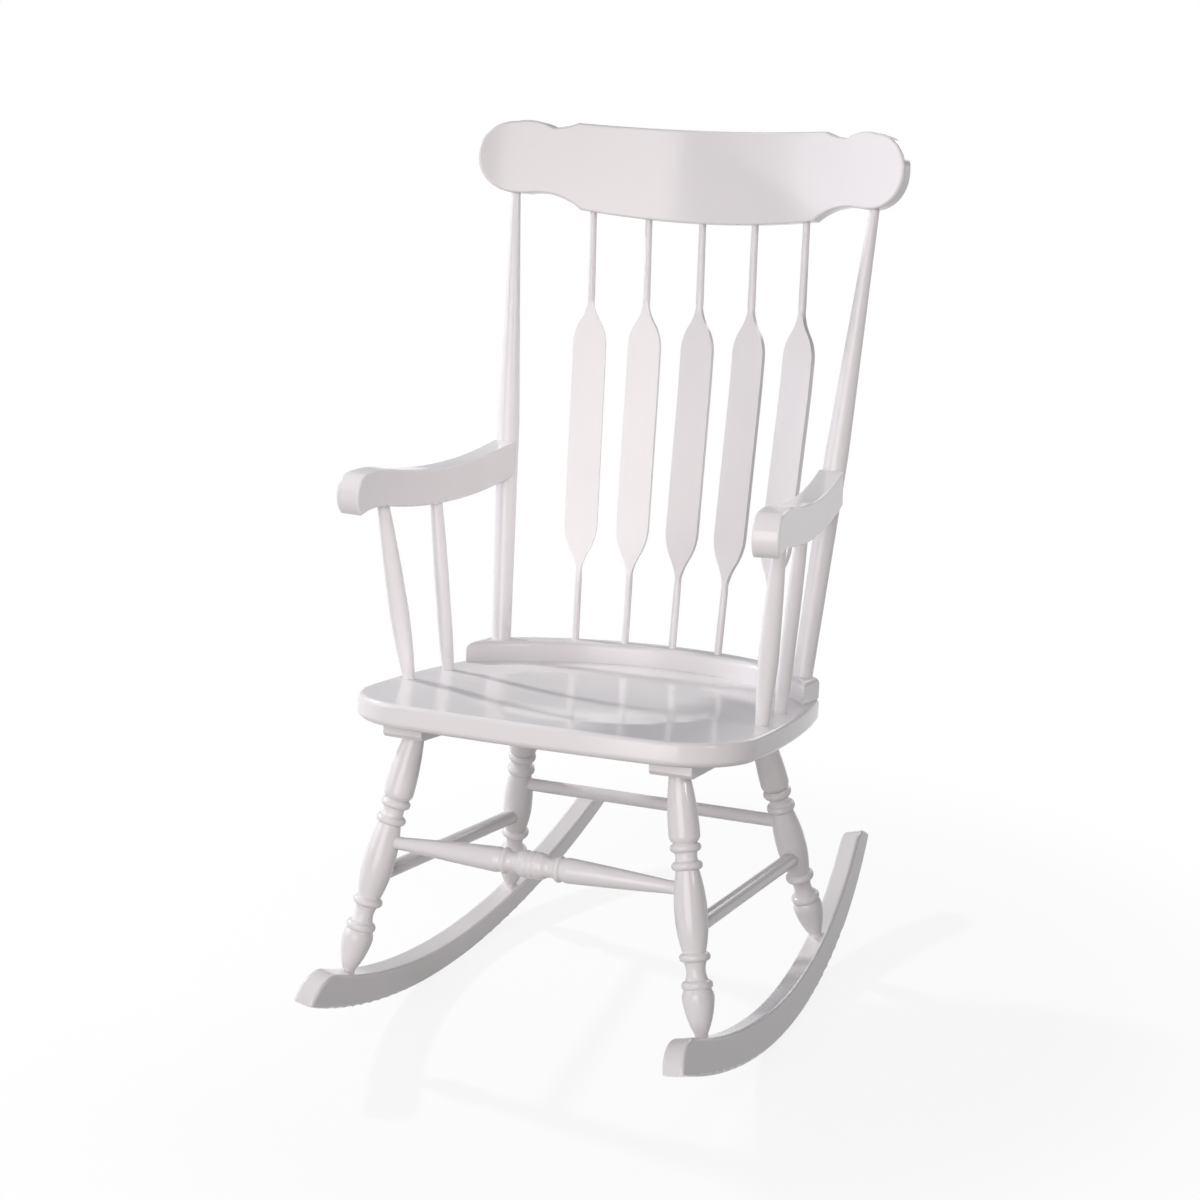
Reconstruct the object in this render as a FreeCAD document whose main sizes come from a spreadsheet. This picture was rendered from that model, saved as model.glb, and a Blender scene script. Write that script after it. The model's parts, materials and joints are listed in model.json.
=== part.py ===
import FreeCAD, Part
import math
import os
from types import SimpleNamespace

import Sketcher
from FreeCAD import Placement, Rotation, Vector

# Rocking chair with a plank seat, five arrow spindles, a lobed crest rail and canted rockers.
# Millimetres; +Z up, the sitter faces -Y, the sitter's left is +X, the floor is Z = 0.

# Driving sizes: name, value, what it sets.
SIZES = [
    ("glue_gap", 0.1, "radial room of every round joint"),
    ("socket_floor_gap", 0.4, "room below the end of a round tenon"),
    ("seat_front_height", 471.6, "height of the seat's top at its front edge"),
    ("seat_front_set", 303.0, "front edge of the seat ahead of the middle of the rockers"),
    ("seat_tilt", 8.1, "fall of the seat to the rear, degrees"),
    ("seat_thickness", 31.3, "thickness of the plank"),
    ("seat_side_swell", 22.5, "half width at the widest line beyond that at the rear bow"),
    ("seat_rear_margin", 1.2, "seat left showing beyond the riser's ends"),
    ("seat_wide_line", 100.0, "widest line behind the front edge"),
    ("seat_front_flat", 170.0, "half length of the nearly straight front edge"),
    ("seat_front_bow", 5.0, "bow of the front edge"),
    ("seat_rear_corner", 40.0, "radius of the rear corners"),
    ("seat_top_round", 6.5, "rounding of the upper edge"),
    ("seat_under_round", 9.0, "rounding of the lower edge"),
    ("saddle_depth", 7.0, "depth of the dished saddle"),
    ("saddle_radius", 185.0, "radius of the dished saddle"),
    ("saddle_centre", 222.0, "centre of the saddle behind the front edge"),
    ("back_bow_radius", 306.0, "radius of the line of posts and spindles on the seat"),
    ("back_bow_centre", 196.0, "centre of that line behind the front edge"),
    ("riser_width", 38.0, "width of the riser strip"),
    ("riser_height", 28.5, "height of the riser strip"),
    ("riser_end_margin", 10.0, "riser beyond the back posts"),
    ("riser_round", 9.0, "rounding of the riser's upper edge"),
    ("riser_margin", 3.0, "seat left showing behind the riser"),
    ("post_angle", 46.6, "place of a back post on the bow, degrees"),
    ("post_seat_depth", 14.0, "depth of a post in the seat below the riser"),
    ("post_foot_radius", 13.5, "post where it leaves the riser"),
    ("post_belly_radius", 15.5, "thickest part of the post, level with the arm"),
    ("post_belly_height", 300.0, "thickest part above the riser"),
    ("post_tip_radius", 6.5, "post where it enters the crest rail"),
    ("post_tip_depth", 24.0, "depth of the post in the crest rail"),
    ("spindle_foot_step", 70.0, "step between spindle feet across the chair"),
    ("spindle_bow_radius", 520.0, "flatter line of the spindle feet on the riser"),
    ("spindle_bow_inset", 5.4, "middle spindle's foot ahead of the line of the posts"),
    ("spindle_bend", 7.7, "forward bend of a spindle's upper part, degrees"),
    ("spindle_bend_length", 140.0, "length of that bend, which ends at the paddle's upper point"),
    ("spindle_crest_step", 78.0, "step between spindle tops along the crest rail"),
    ("spindle_seat_depth", 20.0, "depth of a spindle in the riser"),
    ("spindle_crest_depth", 20.0, "depth of a spindle in the crest rail"),
    ("spindle_foot_radius", 5.2, "spindle where it leaves the riser"),
    ("spindle_low_neck_radius", 5.0, "lower shank where it meets the paddle"),
    ("spindle_high_neck_radius", 5.45, "upper shank where it meets the paddle"),
    ("spindle_top_radius", 4.8, "spindle where it enters the crest rail"),
    ("spindle_core_radius", 2.5, "end of a shank inside the paddle"),
    ("spindle_core_set", 13.0, "end of the upper shank above the corner of the bend"),
    ("paddle_width", 46.0, "width of the flat paddle"),
    ("paddle_thickness", 9.0, "thickness of the flat paddle"),
    ("paddle_low_point", 2.0, "half width of the paddle's lower point, inside the shank"),
    ("paddle_high_point", 3.0, "half width of the paddle's upper point, inside the shank"),
    ("paddle_start", 84.0, "lower point of the paddle above the riser"),
    ("paddle_low_shoulder", 165.0, "lower end of the paddle's full width"),
    ("paddle_high_shoulder", 415.0, "upper end of the paddle's full width"),
    ("paddle_end", 484.0, "upper point of the paddle above the riser"),
    ("crest_height", 1010.1, "height of the crest rail's lower edge at the middle"),
    ("crest_set_back", 294.0, "crest rail's middle line behind the middle of the rockers"),
    ("crest_lean", 9.6, "lean of the crest rail, degrees"),
    ("crest_thickness", 27.0, "thickness of the crest rail"),
    ("crest_round", 3.5, "rounding of the crest rail's front edges"),
    ("crest_bend_radius", 650.0, "bend of the crest rail in plan"),
    ("crest_top_rise", 128.5, "top edge at the cusps above the lower edge at the middle"),
    ("crest_top_bow", 3.0, "hollow of the top edge between the cusps"),
    ("crest_top_cusp", 180.0, "top cusps off the middle"),
    ("crest_valley", 212.0, "lowest point between cusp and lobe, off the middle"),
    ("crest_valley_drop", 8.5, "drop of that point below the cusps"),
    ("crest_valley_hollow", 1.5, "hollow between valley and cusp"),
    ("crest_low_cusp", 170.0, "lower cusps off the middle"),
    ("crest_belly", 10.0, "rise of the lower cusps above the belly"),
    ("crest_neck", 244.0, "inner end of the lobe's lower edge, off the middle"),
    ("crest_cove", 9.0, "hollow of the cove between cusp and lobe"),
    ("lobe_centre", 260.0, "centre of the lobe off the middle"),
    ("lobe_rise", 77.0, "centre of the lobe above the belly"),
    ("lobe_half_width", 46.0, "half width of the lobe"),
    ("lobe_half_height", 49.0, "half height of the lobe"),
    ("lobe_shoulder", 5.0, "fullness of the lobe towards the valley"),
    ("arm_rear_top", 714.1, "height of the arm's top at the post"),
    ("arm_rear_depth", 48.0, "height of the arm's rear end"),
    ("arm_front_reach", 223.0, "arm's nose ahead of the middle of the rockers"),
    ("arm_front_spread", 280.0, "arm's centre line off the middle at the nose"),
    ("arm_width", 34.0, "width of the arm"),
    ("arm_nose_low", 686.1, "height of the nose's lower corner"),
    ("arm_nose_height", 51.0, "height of the nose"),
    ("arm_hump_length", 91.0, "length of the raised front of the arm"),
    ("arm_hump_fall", 6.5, "fall of the top edge at the end of the hump"),
    ("arm_nose_rise", 20.5, "foremost point of the nose above its lower corner"),
    ("arm_nose_round", 28.0, "length of the rounded nose"),
    ("arm_chin", 9.0, "set-back of the nose's lower corner"),
    ("arm_cope_depth", 6.0, "depth of the hollow in which the post sits"),
    ("arm_dip", 13.0, "dip of the top edge behind the hump"),
    ("arm_sag", 14.0, "sag of the lower edge"),
    ("arm_round", 3.0, "rounding of the arm's edges"),
    ("front_arm_spindle_line", 177.0, "front arm spindle behind the front edge"),
    ("front_arm_spindle_spread", 247.0, "front arm spindle off the middle, on the seat"),
    ("rear_arm_spindle_line", 274.0, "rear arm spindle behind the front edge"),
    ("rear_arm_spindle_spread", 238.0, "rear arm spindle off the middle, on the seat"),
    ("front_arm_spindle_reach", 306.0, "front arm spindle's top ahead of the post, along the arm"),
    ("rear_arm_spindle_reach", 182.0, "rear arm spindle's top ahead of the post, along the arm"),
    ("arm_spindle_end_radius", 8.2, "arm spindle at both ends"),
    ("front_arm_spindle_belly", 13.0, "thickest part of the front arm spindle"),
    ("rear_arm_spindle_belly", 9.6, "thickest part of the rear arm spindle"),
    ("arm_spindle_belly_height", 90.0, "thickest part above the seat"),
    ("arm_spindle_depth", 20.0, "depth of an arm spindle in the seat and in the arm"),
    ("arm_spindle_fullness", 0.8, "fullness of an arm spindle"),
    ("cleat_width", 55.0, "width of a cleat"),
    ("cleat_thickness", 19.0, "thickness of a cleat"),
    ("cleat_overhang", 34.0, "cleat beyond the leg's centre at each end"),
    ("cleat_chamfer", 5.0, "chamfer of the cleat's ends"),
    ("front_leg_line", 71.0, "front leg's top behind the front edge"),
    ("front_leg_spread", 181.0, "front leg's top off the middle"),
    ("rear_leg_line", 395.0, "rear leg's top behind the front edge"),
    ("rear_leg_spread", 172.0, "rear leg's top off the middle"),
    ("front_foot_set", 318.5, "front foot ahead of the middle of the rockers"),
    ("rear_foot_set", 151.0, "rear foot behind the middle of the rockers"),
    ("leg_socket_depth", 30.0, "depth of a leg in cleat and seat"),
    ("leg_top_radius", 13.5, "leg at the cleat"),
    ("leg_foot_radius", 8.5, "leg at the rocker"),
    ("leg_foot_depth", 24.0, "depth of a foot in the rocker"),
    ("leg_vase_radius", 20.0, "foot vase of the leg"),
    ("leg_vase_height", 47.0, "foot vase above the rocker"),
    ("leg_bead_radius", 19.5, "beads of the leg"),
    ("leg_first_crown", 3.75, "fullness of the first bead"),
    ("leg_neck_radius", 12.0, "neck between the two lower beads"),
    ("leg_cove_radius", 14.5, "coves beside the other beads"),
    ("leg_bead_low", 64.5, "first bead above the rocker"),
    ("leg_bead_second", 98.0, "second bead above the rocker"),
    ("leg_body_radius", 20.5, "long body of the leg"),
    ("leg_body_height", 150.0, "thickest part of the body above the rocker"),
    ("leg_bead_third", 209.0, "third bead above the rocker"),
    ("leg_bead_top", 231.0, "fourth bead above the rocker"),
    ("leg_bead_half", 5.5, "half height of a bead"),
    ("leg_cap_height", 14.0, "upper vase above the fourth bead"),
    ("leg_cap_radius", 19.5, "upper vase of the leg"),
    ("leg_land", 5.0, "plain end of a turned piece where it enters its socket"),
    ("leg_vase_fullness", 2.0, "fullness of the foot vase"),
    ("leg_body_fullness", 1.6, "fullness of the body and the upper vase"),
    ("leg_cove_hollow", 1.0, "hollow between the two upper beads"),
    ("stretcher_end_gap", 4.0, "end of a stretcher short of the leg's axis"),
    ("front_stretcher_height", 179.0, "front stretcher up the front legs"),
    ("rear_stretcher_height", 184.0, "rear stretcher up the rear legs"),
    ("side_stretcher_front", 131.0, "side stretcher up the front leg"),
    ("side_stretcher_rear", 129.0, "side stretcher up the rear leg"),
    ("rear_stretcher_radius", 9.0, "plain stretcher at the rear"),
    ("side_stretcher_radius", 10.5, "plain stretchers at the sides"),
    ("front_stretcher_end", 8.5, "front stretcher at its ends"),
    ("front_stretcher_swell", 16.2, "front stretcher beside its rings"),
    ("front_stretcher_barrel", 16.4, "barrel at the middle, between its reeds"),
    ("front_stretcher_ring", 17.0, "rings beside the barrel"),
    ("front_stretcher_neck", 14.5, "necks beside the barrel"),
    ("front_stretcher_hollow", 2.0, "hollow of the necks"),
    ("front_stretcher_fullness", 0.4, "fullness of the long tapers"),
    ("front_stretcher_land", 24.0, "plain end of the front stretcher"),
    ("barrel_half_length", 19.0, "half length of the barrel"),
    ("barrel_fullness", 0.6, "fullness of the barrel's ends"),
    ("reed_length", 8.4, "length of one of the barrel's reeds"),
    ("reed_crown", 1.2, "fullness of a reed"),
    ("barrel_neck_length", 14.0, "length of a neck"),
    ("barrel_ring_length", 8.0, "length of a ring"),
    ("swell_length", 8.0, "swell beyond the ring"),
    ("rocker_length", 852.0, "length of a rocker from nose to tip"),
    ("rocker_radius", 932.0, "radius of the running edge in the board's own plane"),
    ("rocker_rest_line", 4.4, "point of rest behind the middle of the rockers"),
    ("rocker_spread", 252.6, "rocker's middle off the chair's middle at the point of rest"),
    ("rocker_toe", 2.6, "rockers close to the rear, degrees"),
    ("rocker_cant", 12.4, "rockers lean in at the top, degrees"),
    ("rocker_thickness", 29.0, "thickness of a rocker"),
    ("rocker_depth", 41.0, "height of a rocker at the point of rest"),
    ("rocker_taper", 12.0, "shift of the upper edge's centre, which tapers the rocker"),
    ("rocker_nose_length", 58.0, "length of the rounded nose"),
    ("rocker_tip_length", 58.0, "length of the rounded tip"),
    ("rocker_round", 5.0, "rounding of a rocker's edges"),
    ("riser_screw_inner_angle", 6.6, "inner riser screw on the bow, degrees"),
    ("riser_screw_outer_angle", 37.0, "outer riser screw on the bow, degrees"),
    ("screw_radius", 2.2, "shank of the wood screws"),
    ("screw_head_radius", 4.4, "head of the wood screws"),
    ("screw_head_height", 3.0, "height of the countersunk head"),
    ("cleat_screw_length", 42.0, "screws up through the cleats"),
    ("riser_screw_length", 50.0, "screws up through the seat into the riser"),
    ("rocker_screw_length", 40.0, "screws up through the rockers into the feet"),
    ("arm_screw_length", 58.0, "screws through the posts into the arms"),
    ("crest_pin_radius", 1.2, "pins through the crest rail into the posts"),
    ("crest_pin_length", 18.0, "length of those pins"),
    ("crest_pin_rise", 10.0, "height of those pins above the lobe's lower edge"),
]

UP = Vector(0, 0, 1)
TOLERANCE = 1e-3  # points closer than this are one point
SAWN_TOLERANCE = 0.05  # a sawn edge lies this close to the faces that it parts
REEDS = 3  # reeds on the front stretcher's barrel
SPINDLE_STEPS = (-2, -1, 0, 1, 2)  # the five back spindles, counted from the middle one
CLEAT_SCREW_SHARES = (0.2, 0.5, 0.8)  # places of the cleat screws between the legs
HUMP_SHARE = 0.75  # the nose's flat underside as a share of the arm's hump
QUARTER_RISE = 1 - math.sqrt(0.5)  # rise of a quarter circle's arc as a share of its radius

DOC = FreeCAD.newDocument("rocking_chair")


class Size:
    """A number together with the sheet expression that gives it."""

    def __init__(self, value, text):
        self.value = value
        self.text = text

    def __add__(self, other):
        other = as_size(other)
        return Size(self.value + other.value, f"({self.text} + {other.text})")

    def __sub__(self, other):
        other = as_size(other)
        return Size(self.value - other.value, f"({self.text} - {other.text})")

    def __mul__(self, other):
        other = as_size(other)
        return Size(self.value * other.value, f"({self.text} * {other.text})")

    def __truediv__(self, other):
        other = as_size(other)
        return Size(self.value / other.value, f"({self.text} / {other.text})")

    def __neg__(self):
        return as_size(0) - self


def as_size(number):
    """Wrap a plain number, so that it can stand in a sheet expression."""
    if isinstance(number, Size):
        return number
    return Size(number, f"({number!r})")


def size_root(size):
    return Size(math.sqrt(size.value), f"sqrt({size.text})")


def size_sin(angle):
    return Size(math.sin(math.radians(angle.value)), f"sin({angle.text})")


def size_cos(angle):
    return Size(math.cos(math.radians(angle.value)), f"cos({angle.text})")


def size_versine(angle):
    """One less the cosine."""
    return Size(1 - math.cos(math.radians(angle.value)), f"(1 - cos({angle.text}))")


def fill_sheet():
    """Write the driving sizes into the sheet and return them by name."""
    sheet = DOC.addObject("Spreadsheet::Sheet", "Sizes")
    named = {}
    for row, (name, value, note) in enumerate(SIZES, start=1):
        sheet.set(f"A{row}", note)
        sheet.set(f"B{row}", str(value))
        sheet.setAlias(f"B{row}", name)
        named[name] = Size(value, f"Sizes.{name}")
    DOC.recompute()
    return SimpleNamespace(**named)


D = fill_sheet()


# Sketch helpers

def new_body(name):
    return DOC.addObject("PartDesign::Body", name)


def new_sketch(body, role):
    """Start a sketch on one of the body's own origin planes."""
    sketch = body.newObject("Sketcher::SketchObject", f"{body.Name}_{role}")
    plane = next(f for f in body.Origin.OriginFeatures if f.Role == role)
    sketch.AttachmentSupport = (plane, [""])
    sketch.MapMode = "FlatFace"
    return sketch


def pin_point(sketch, geo, end, point):
    """Bind both coordinates of a curve's end to the sheet."""
    for kind, axis, size in (("DistanceX", -2, point[0]), ("DistanceY", -1, point[1])):
        size = as_size(size)
        if size.value == 0:
            sketch.addConstraint(Sketcher.Constraint("PointOnObject", geo, end, axis))
            continue
        number = sketch.addConstraint(Sketcher.Constraint(kind, -1, 1, geo, end, size.value))
        sketch.setExpression(f"Constraints[{number}]", size.text)


def arc_through(start, end, bulge):
    """Centre, radius expression and end angles of an arc that bulges to the right of its chord."""
    run = as_size(end[0]) - start[0]
    rise = as_size(end[1]) - start[1]
    chord_squared = run * run + rise * rise
    radius = (chord_squared / 4 + bulge * bulge) / (bulge * 2)
    chord = math.sqrt(chord_squared.value)
    middle_x = (as_size(start[0]).value + as_size(end[0]).value) / 2
    middle_y = (as_size(start[1]).value + as_size(end[1]).value) / 2
    inset = (radius.value - bulge.value) / chord
    centre = Vector(middle_x - rise.value * inset, middle_y + run.value * inset, 0)
    return centre, radius


class Flow(Size):
    """Bulge of an arc that tangency sets; the value only starts the sketch off."""

    def __init__(self, value):
        super().__init__(value, "")


def plain(point):
    """An outline point as two plain numbers."""
    return as_size(point[0]).value, as_size(point[1]).value


def flow_on(heading, start, end):
    """Arc that leaves its start along a heading in degrees, and the heading at its end."""
    (x1, y1), (x2, y2) = plain(start), plain(end)
    direction = math.degrees(math.atan2(y2 - y1, x2 - x1))
    turn = (direction - heading + 180) % 360 - 180
    bulge = math.hypot(x2 - x1, y2 - y1) / 2 * math.tan(math.radians(turn / 2))
    return Flow(bulge), direction + turn


def heading_after(start, end, bulge):
    """Heading in degrees at the end of an arc of a known bulge."""
    (x1, y1), (x2, y2) = plain(start), plain(end)
    chord = math.hypot(x2 - x1, y2 - y1)
    direction = math.degrees(math.atan2(y2 - y1, x2 - x1))
    return direction + 2 * math.degrees(math.atan(2 * bulge.value / chord))


def flow_into(start, end, heading):
    """Arc that reaches its end along a heading in degrees."""
    return Flow(-flow_on(heading + 180, end, start)[0].value)


def add_arc(sketch, start, end, bulge):
    """Add one arc between two outline points; a negative bulge hollows the outline."""
    hollow = bulge.value < 0
    first, last = (end, start) if hollow else (start, end)
    centre, radius = arc_through(first, last, -bulge if hollow else bulge)
    angles = [math.atan2(y - centre.y, x - centre.x) for x, y in (plain(first), plain(last))]
    circle = Part.Circle(centre, UP, radius.value)
    geo = sketch.addGeometry(Part.ArcOfCircle(circle, *angles))
    if not isinstance(bulge, Flow):
        number = sketch.addConstraint(Sketcher.Constraint("Radius", geo, radius.value))
        sketch.setExpression(f"Constraints[{number}]", radius.text)
    return geo, (2, 1) if hollow else (1, 2)


def draw_outline(sketch, points, smooth=()):
    """Draw a closed counter-clockwise outline of (x, y, bulge to the next point or None).

    At the points whose numbers are in smooth, the curves run into each other without a corner.
    """
    ends = []
    for index, (x, y, bulge) in enumerate(points):
        following = points[(index + 1) % len(points)]
        if bulge is None:
            start, end = [Vector(*plain(point), 0) for point in ((x, y), following)]
            ends.append((sketch.addGeometry(Part.LineSegment(start, end)), (1, 2)))
        else:
            ends.append(add_arc(sketch, (x, y), following, as_size(bulge)))
    for index, (geo, (start, end)) in enumerate(ends):
        next_geo, next_ends = ends[(index + 1) % len(ends)]
        kind = "Tangent" if (index + 1) % len(ends) in smooth else "Coincident"
        sketch.addConstraint(Sketcher.Constraint(kind, geo, end, next_geo, next_ends[0]))
    for index, (geo, (start, end)) in enumerate(ends):
        pin_point(sketch, geo, start, points[index])


def pad(body, sketch, length, symmetric=False, downward=False):
    feature = body.newObject("PartDesign::Pad", f"{body.Name}_pad_{len(body.Group)}")
    feature.Profile = sketch
    feature.setExpression("Length", as_size(length).text)
    feature.SideType = "Symmetric" if symmetric else "One side"
    feature.Reversed = downward
    DOC.recompute()
    return feature


def round_edges(body, feature, radius, wanted):
    """Fillet the edges of a feature that the test picks out."""
    names = [f"Edge{n}" for n, edge in enumerate(feature.Shape.Edges, start=1) if wanted(edge)]
    fillet = body.newObject("PartDesign::Fillet", f"{body.Name}_round_{len(body.Group)}")
    fillet.Base = (feature, names)
    fillet.setExpression("Radius", radius.text)
    DOC.recompute()
    return fillet


def lies_at(axis, level):
    """Test that picks the edges lying in one plane."""
    def wanted(edge):
        box = edge.BoundBox
        low, high = {"x": (box.XMin, box.XMax), "z": (box.ZMin, box.ZMax)}[axis]
        return max(abs(low - level), abs(high - level)) < TOLERANCE
    return wanted


def stands_at(across, back):
    """Test that picks the upright edges at one point and its mirror image."""
    def wanted(edge):
        box = edge.BoundBox
        return max(abs(abs(box.XMin) - across), abs(box.YMin - back), box.YLength) < TOLERANCE
    return wanted


def turned(name, stations):
    """Revolve a profile of (height, radius, bulge to the next station) about the body's own Z."""
    body = new_body(name)
    sketch = new_sketch(body, "XZ_Plane")
    profile = [(radius, height, bulge) for height, radius, bulge in stations]
    bottom, top = profile[0][1], profile[-1][1]
    last_radius = profile[-1][0]
    outline = [(0, bottom, None)] + profile[:-1] + [(last_radius, top, None), (0, top, None)]
    draw_outline(sketch, outline)
    feature = body.newObject("PartDesign::Revolution", f"{name}_turning")
    feature.Profile = sketch
    feature.ReferenceAxis = (sketch, ["V_Axis"])
    feature.Angle = 360
    DOC.recompute()
    return body


# Joint helpers

def along(start, end, facing=None):
    """Placement that lays a piece's own Z from one point to another, its X towards facing."""
    direction = (end - start).normalize()
    if facing is None:
        return Placement(start, Rotation(UP, direction))
    return Placement(start, Rotation(facing, Vector(), direction, "ZXY"))


def bore(name, placement, radius, start, end):
    """Round cutter along a joint's axis between two heights."""
    cutter = DOC.addObject("Part::Cylinder", name)
    cutter.setExpression("Radius", radius.text)
    cutter.setExpression("Height", (as_size(end) - start).text)
    cutter.Placement = placement * Placement(Vector(0, 0, as_size(start).value), Rotation())
    return cutter


def cut(name, base, cutters):
    """Take a group of cutters out of a piece."""
    group = DOC.addObject("Part::MultiFuse", f"{name}_cutters")
    group.Shapes = cutters
    result = DOC.addObject("Part::Cut", name)
    result.Base = base
    result.Tool = group if len(cutters) > 1 else cutters[0]
    if len(cutters) == 1:
        DOC.removeObject(group.Name)
    return result


def mirrored(name, source):
    """The same piece for the other side of the chair."""
    copy = DOC.addObject("Part::Mirroring", name)
    copy.Source = source
    copy.Normal = Vector(1, 0, 0)
    return copy


def grouped(name, pieces):
    group = DOC.addObject("Part::Compound", name)
    group.Links = pieces
    return group


# Places that several pieces share

def seat_frame():
    """Placement whose origin is the top of the seat's front edge and whose Y runs back along the seat."""
    origin = Vector(0, -D.seat_front_set.value, D.seat_front_height.value)
    return Placement(origin, Rotation(Vector(1, 0, 0), -D.seat_tilt.value))


def on_seat(across, back, up=0.0):
    return SEAT.multVec(Vector(across, back, up))


def on_bow(angle, up):
    """Point on the line of posts and spindles, at a height above the seat."""
    turn = math.radians(angle)
    radius = D.back_bow_radius.value
    return on_seat(radius * math.sin(turn), D.back_bow_centre.value + radius * math.cos(turn), up)


def crest_frame():
    """Placement whose origin is the middle of the crest rail's lower edge, leaning with the rail."""
    origin = Vector(0, D.crest_set_back.value, D.crest_height.value)
    return Placement(origin, Rotation(Vector(1, 0, 0), -D.crest_lean.value))


def on_crest(across, rise):
    """Point on the bent middle surface of the crest rail."""
    radius = D.crest_bend_radius.value
    back = math.sqrt(radius ** 2 - across ** 2) - radius
    return CREST.multVec(Vector(across, back, rise))


def rocker_frame():
    """Placement of the left rocker: its own X is its thickness, its inner edge touches the floor."""
    sine = math.sin(math.radians(D.rocker_cant.value))
    cosine = math.cos(math.radians(D.rocker_cant.value))
    lift = D.rocker_thickness.value / 2 * sine - D.rocker_round.value * (sine + cosine - 1)
    origin = Vector(D.rocker_spread.value, D.rocker_rest_line.value, lift)
    toe = Rotation(UP, D.rocker_toe.value)
    cant = Rotation(Vector(0, 1, 0), -D.rocker_cant.value)
    return Placement(origin, toe.multiply(cant))


def rocker_top(back):
    """Point in the middle of the left rocker's upper edge, given its distance behind the point of rest."""
    radius = D.rocker_radius.value - D.rocker_depth.value
    reach = back - D.rocker_taper.value
    return ROCKER.multVec(Vector(0, back, D.rocker_radius.value - math.sqrt(radius ** 2 - reach ** 2)))


def leg_axis(line, spread, foot_set):
    """Foot and top of a left leg: the rocker's upper edge and the underside of the cleat."""
    top = on_seat(spread.value, line.value, -(D.seat_thickness.value + D.cleat_thickness.value))
    foot = rocker_top(foot_set - D.rocker_rest_line.value)
    return foot, top


def up_axis(axis, height):
    foot, top = axis
    return foot + (top - foot).normalize() * height.value


def arm_line():
    """Foot of the arm's own frame, on the post's axis at floor level, and the arm's turn in plan."""
    post_foot, post_top = POST
    share = (D.arm_rear_top.value - D.arm_rear_depth.value / 2 - post_foot.z) / (post_top.z - post_foot.z)
    crossing = post_foot + (post_top - post_foot) * share
    run = crossing.y + D.arm_front_reach.value
    turn = math.degrees(math.atan2(D.arm_front_spread.value - crossing.x, run))
    return Placement(Vector(crossing.x, crossing.y, 0), Rotation(UP, turn))


SEAT = seat_frame()
CREST = crest_frame()
ROCKER = rocker_frame()
RISER_TOP = D.riser_height.value
RISER_HALF = D.back_bow_radius * size_sin(D.post_angle) + D.post_foot_radius + D.riser_end_margin
SEAT_REAR_HALF = RISER_HALF + D.seat_rear_margin
SEAT_HALF = SEAT_REAR_HALF + D.seat_side_swell
POST = (on_bow(D.post_angle.value, RISER_TOP),
        on_crest(D.lobe_centre.value, D.lobe_rise.value - D.lobe_half_height.value))
FRONT_LEG = leg_axis(D.front_leg_line, D.front_leg_spread, -D.front_foot_set.value)
REAR_LEG = leg_axis(D.rear_leg_line, D.rear_leg_spread, D.rear_foot_set.value)
ARM = arm_line()
ARM_NOSE = -(ARM.Base.y + D.arm_front_reach.value) / math.cos(ARM.Rotation.Angle)


# Seat and the strips fixed to it

def seat_blank():
    """Plank with large front corners, slightly bowed sides and a rear edge bowed round the riser."""
    body = new_body("seat_blank")
    sketch = new_sketch(body, "XY_Plane")
    rear_radius = D.back_bow_radius + D.riser_width / 2 + D.riser_margin
    rear_half = SEAT_REAR_HALF
    rear_reach = size_root(rear_radius * rear_radius - rear_half * rear_half)
    rear_line = D.back_bow_centre + rear_reach
    front_left, front_right = (-D.seat_front_flat, 0), (D.seat_front_flat, 0)
    widest, rear = (SEAT_HALF, D.seat_wide_line), (rear_half, rear_line)
    heading = heading_after(front_left, front_right, D.seat_front_bow)
    corner, heading = flow_on(heading, front_right, widest)
    side, heading = flow_on(heading, widest, rear)
    draw_outline(sketch, [
        (*front_left, D.seat_front_bow),
        (*front_right, corner),
        (*widest, side),
        (*rear, rear_radius - rear_reach),
        (-rear_half, rear_line, side),
        (-SEAT_HALF, D.seat_wide_line, corner),
    ], smooth=(0, 1, 2, 5))
    plank = pad(body, sketch, D.seat_thickness, downward=True)
    plank = round_edges(body, plank, D.seat_rear_corner, stands_at(rear_half.value, rear_line.value))
    upper = round_edges(body, plank, D.seat_top_round, lies_at("z", 0))
    round_edges(body, upper, D.seat_under_round, lies_at("z", -D.seat_thickness.value))
    body.Placement = SEAT
    return body


def saddle_cutter():
    """Large ball that dishes the top of the seat."""
    ball = DOC.addObject("Part::Sphere", "saddle_ball")
    depth = D.saddle_depth
    radius = (D.saddle_radius * D.saddle_radius + depth * depth) / (depth * 2)
    ball.setExpression("Radius", radius.text)
    ball.Placement = Placement(on_seat(0, D.saddle_centre.value, radius.value - depth.value), Rotation())
    return ball


def riser_blank():
    """Curved strip whose ends are cut along the seat's sides, with a rounded upper edge."""
    body = new_body("riser_blank")
    sketch = new_sketch(body, "XY_Plane")
    half = RISER_HALF
    outer = D.back_bow_radius + D.riser_width / 2
    inner = D.back_bow_radius - D.riser_width / 2
    outer_reach = size_root(outer * outer - half * half)
    inner_reach = size_root(inner * inner - half * half)
    draw_outline(sketch, [
        (half, D.back_bow_centre + outer_reach, outer - outer_reach),
        (-half, D.back_bow_centre + outer_reach, None),
        (-half, D.back_bow_centre + inner_reach, inner_reach - inner),
        (half, D.back_bow_centre + inner_reach, None),
    ])
    strip = pad(body, sketch, D.riser_height)
    round_edges(body, strip, D.riser_round, lies_at("z", D.riser_height.value))
    body.Placement = SEAT
    return body


def cleat_ends():
    """Leg tops on the cleat's underside, and the cleat's own frame at the front one."""
    front, rear = FRONT_LEG[1], REAR_LEG[1]
    back = (rear - front).normalize()
    up = SEAT.Rotation.multVec(UP)
    return Placement(front, Rotation(Vector(), back, up, "ZYX")), (rear - front).Length


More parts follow.
